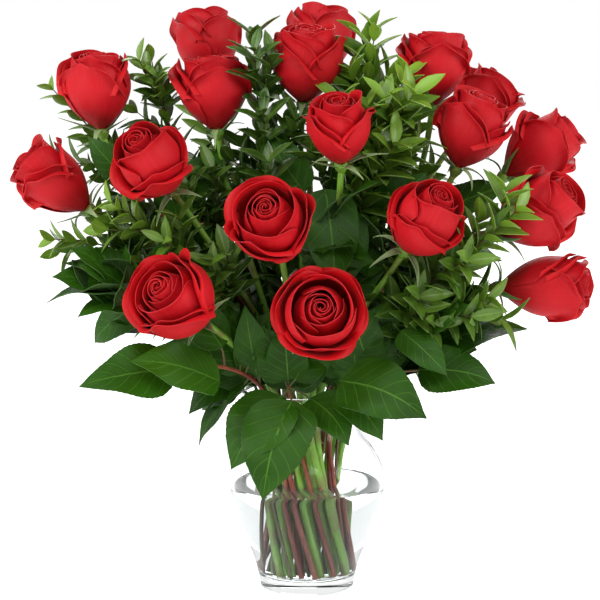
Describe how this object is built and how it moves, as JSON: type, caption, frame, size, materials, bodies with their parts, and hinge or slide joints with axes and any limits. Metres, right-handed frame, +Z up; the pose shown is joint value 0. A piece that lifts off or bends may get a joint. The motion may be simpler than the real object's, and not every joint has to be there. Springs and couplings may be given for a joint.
{
  "type": "roses in a vase",
  "caption": "Bouquet of long-stemmed red roses with lemon leaf and myrtle greenery, standing in a clear glass urn vase of water.",
  "frame": {"origin": "centre of the vase's flat foot, on the surface that the vase stands on", "axes": "+Z up the vase's axis, -Y towards the front of the bouquet, +X to the right of someone who looks at the front"},
  "size_m": [0.4625, 0.2841, 0.4684],
  "materials": {
    "clear_glass": "gloss",
    "clear_water": "gloss",
    "rose_petal": "satin",
    "rose_stem": "satin",
    "lemon_leaf": "satin",
    "myrtle_leaf": "satin",
    "twig_bark": "matte"
  },
  "bodies": {
    "root": {"vase": "clear_glass", "water": "clear_water", "rose_01_stem": "rose_stem", "rose_02_stem": "rose_stem", "rose_03_stem": "rose_stem", "rose_04_stem": "rose_stem", "rose_05_stem": "rose_stem", "rose_06_stem": "rose_stem", "rose_07_stem": "rose_stem", "rose_08_stem": "rose_stem", "rose_09_stem": "rose_stem", "rose_10_stem": "rose_stem", "rose_11_stem": "rose_stem", "rose_12_stem": "rose_stem", "rose_13_stem": "rose_stem", "rose_14_stem": "rose_stem", "rose_15_stem": "rose_stem", "rose_16_stem": "rose_stem", "rose_17_stem": "rose_stem", "rose_18_stem": "rose_stem", "rose_01_bloom": "rose_petal", "rose_02_bloom": "rose_petal", "rose_03_bloom": "rose_petal", "rose_04_bloom": "rose_petal", "rose_05_bloom": "rose_petal", "rose_06_bloom": "rose_petal", "rose_07_bloom": "rose_petal", "rose_08_bloom": "rose_petal", "rose_09_bloom": "rose_petal", "rose_10_bloom": "rose_petal", "rose_11_bloom": "rose_petal", "rose_12_bloom": "rose_petal", "rose_13_bloom": "rose_petal", "rose_14_bloom": "rose_petal", "rose_15_bloom": "rose_petal", "rose_16_bloom": "rose_petal", "rose_17_bloom": "rose_petal", "rose_18_bloom": "rose_petal", "salal_01": "lemon_leaf", "salal_02": "lemon_leaf", "salal_03": "lemon_leaf", "salal_04": "lemon_leaf", "salal_05": "lemon_leaf", "salal_06": "lemon_leaf", "salal_07": "lemon_leaf", "salal_08": "lemon_leaf", "salal_09": "lemon_leaf", "salal_10": "lemon_leaf", "myrtle_01": "myrtle_leaf", "myrtle_02": "myrtle_leaf", "myrtle_03": "myrtle_leaf", "myrtle_04": "myrtle_leaf", "myrtle_05": "myrtle_leaf", "myrtle_06": "myrtle_leaf", "myrtle_07": "myrtle_leaf", "myrtle_08": "myrtle_leaf", "myrtle_09": "myrtle_leaf", "myrtle_10": "myrtle_leaf", "myrtle_11": "myrtle_leaf"}
  },
  "joints": []
}
